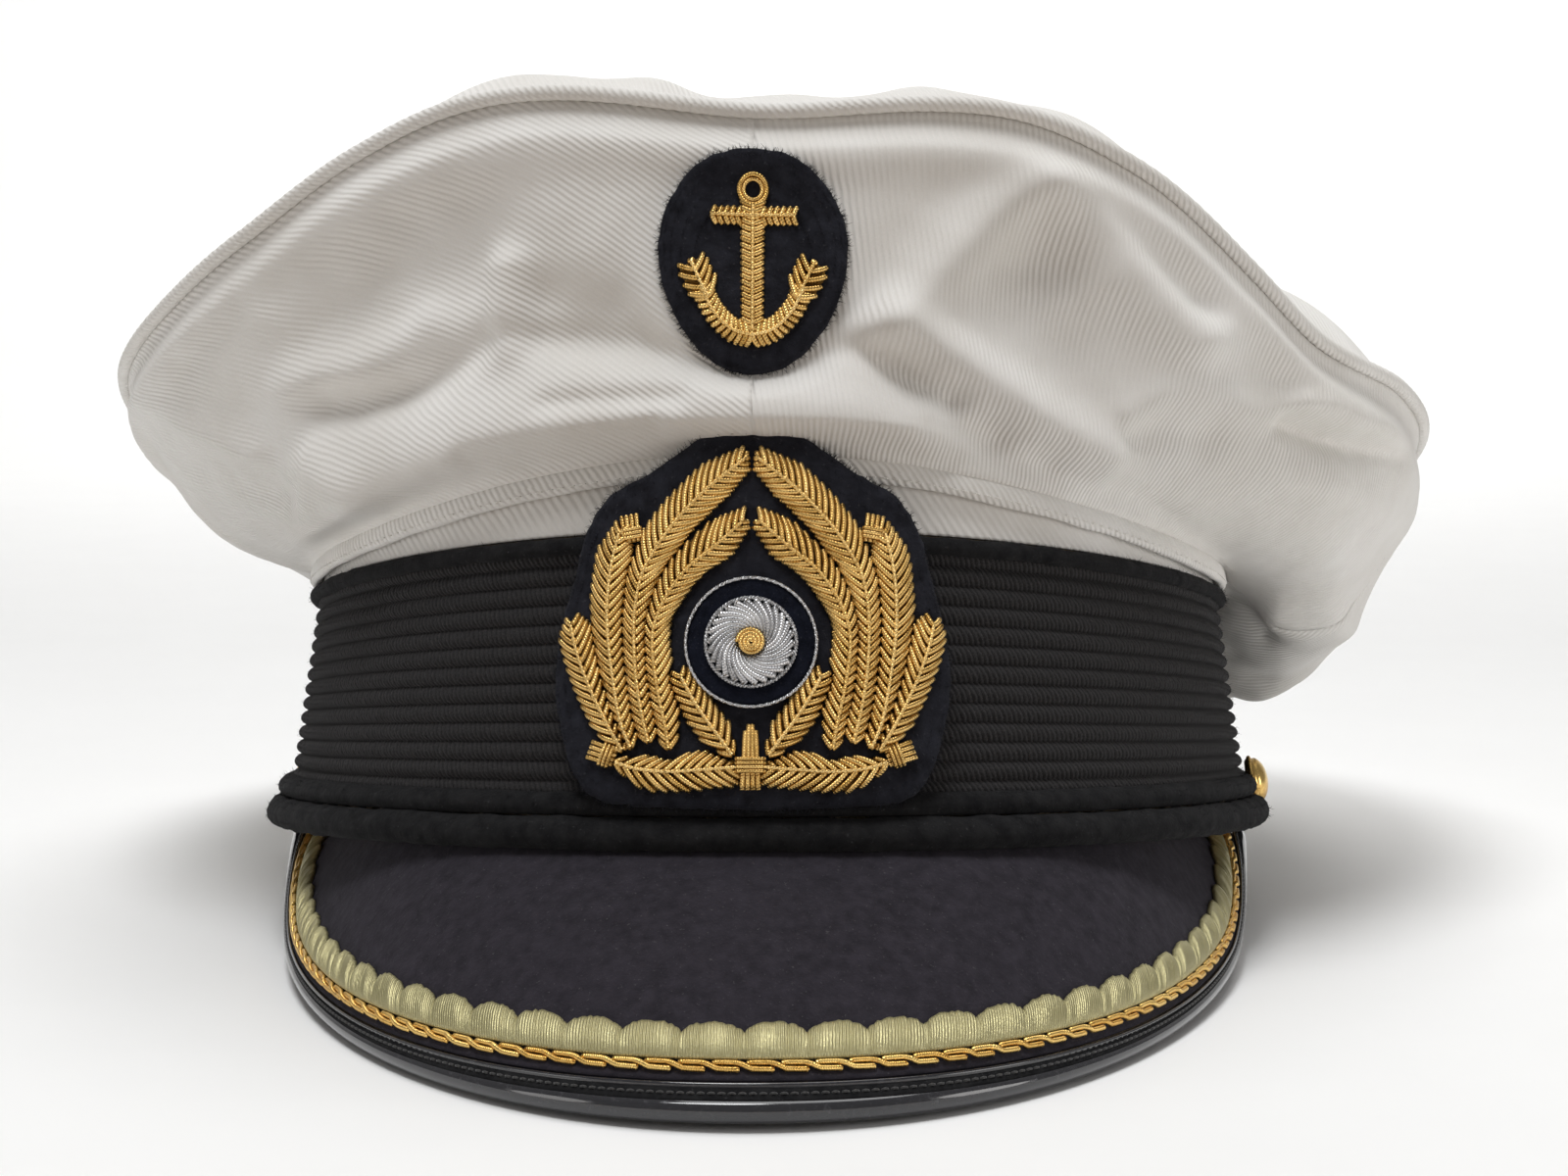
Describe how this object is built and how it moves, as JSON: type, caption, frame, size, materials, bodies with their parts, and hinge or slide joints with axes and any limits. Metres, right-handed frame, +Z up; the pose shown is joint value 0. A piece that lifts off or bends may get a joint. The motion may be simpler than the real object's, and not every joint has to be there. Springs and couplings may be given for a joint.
{
  "type": "military peaked cap",
  "caption": "Peaked cap with a ribbed black band, a felt-covered visor with gold edging, a wreath badge and a lift-off white cloth cover.",
  "frame": {"origin": "under the middle of the cap's box, on the surface it rests on", "axes": "+X to the right seen from the front, -Y out over the visor, +Z up, with the cap tipped back about 8.5 degrees so that it rests on the visor and the rear of the band"},
  "size_m": [0.2456, 0.2866, 0.145],
  "materials": {
    "fibreboard": "stiff brown fibreboard, matt",
    "black_wool": "black wool felt, matt, slightly hairy",
    "mohair": "black ribbed mohair braid",
    "navy_felt": "blue-black wool felt",
    "white_twill": "off-white cotton twill, matt",
    "sweatband_leather": "brown leather, semi-matt",
    "reed": "waxed cotton cord",
    "lining_satin": "pale gold satin",
    "clear_celluloid": "clear yellowish celluloid sheet",
    "spring_steel": "spring steel strip",
    "wire_steel": "tinned steel wire",
    "patent_leather": "black patent leather, glossy",
    "under_leather": "dark brown leather",
    "gold_bullion": "gilt wire embroidery, bright",
    "pale_gold_thread": "pale gold satin stitch",
    "silver_bullion": "silver wire embroidery, bright",
    "gilt_metal": "gilt brass, polished"
  },
  "bodies": {
    "cap_frame": {"band_former": "fibreboard", "mohair_band": "mohair", "base_roll": "black_wool", "lower_welt": "black_wool", "upper_welt": "black_wool", "sweatband": "sweatband_leather", "sweatband_reed": "reed", "lining": "lining_satin", "sweat_shield": "clear_celluloid", "front_stay": "spring_steel", "visor_board": "fibreboard", "visor_cloth": "navy_felt", "visor_lining": "under_leather", "visor_edge_binding": "patent_leather", "visor_chain_embroidery": "gold_bullion", "visor_scallop_embroidery": "pale_gold_thread", "badge_card": "fibreboard", "badge_backing": "black_wool", "wreath_left": "gold_bullion", "wreath_right": "gold_bullion", "wreath_stem": "gold_bullion", "roundel_base": "navy_felt", "roundel_disc": "silver_bullion", "roundel_centre": "gold_bullion", "roundel_wire": "silver_bullion"},
    "cover": {"cover_front_left": "white_twill", "cover_front_right": "white_twill", "cover_rear_right": "white_twill", "cover_rear_left": "white_twill", "cover_top_panel": "white_twill", "cover_piping": "white_twill", "cover_neck_band": "white_twill", "cover_hem_binding": "white_twill", "crown_wire": "wire_steel", "emblem_backing": "navy_felt", "emblem_anchor": "gold_bullion"},
    "button_left_body": {"button_left": "gilt_metal", "button_shank_left": "gilt_metal", "button_pin_left": "gilt_metal"},
    "button_right_body": {"button_right": "gilt_metal", "button_shank_right": "gilt_metal", "button_pin_right": "gilt_metal"}
  },
  "joints": [
    {"name": "cover_lift", "type": "slide", "parent": "cap_frame", "child": "cover", "axis": [0, 0.1471, 0.9891], "range_m": [0, 0.12]},
    {"name": "button_left_turn", "type": "hinge", "parent": "cap_frame", "child": "button_left_body", "pos_m": [-0.08465, 0.01885, 0.02013], "axis": [-0.983, 0.1343, 0.1251], "continuous": true},
    {"name": "button_right_turn", "type": "hinge", "parent": "cap_frame", "child": "button_right_body", "pos_m": [0.0848, -0.00421, 0.02356], "axis": [0.9871, -0.0496, 0.1524], "continuous": true}
  ]
}
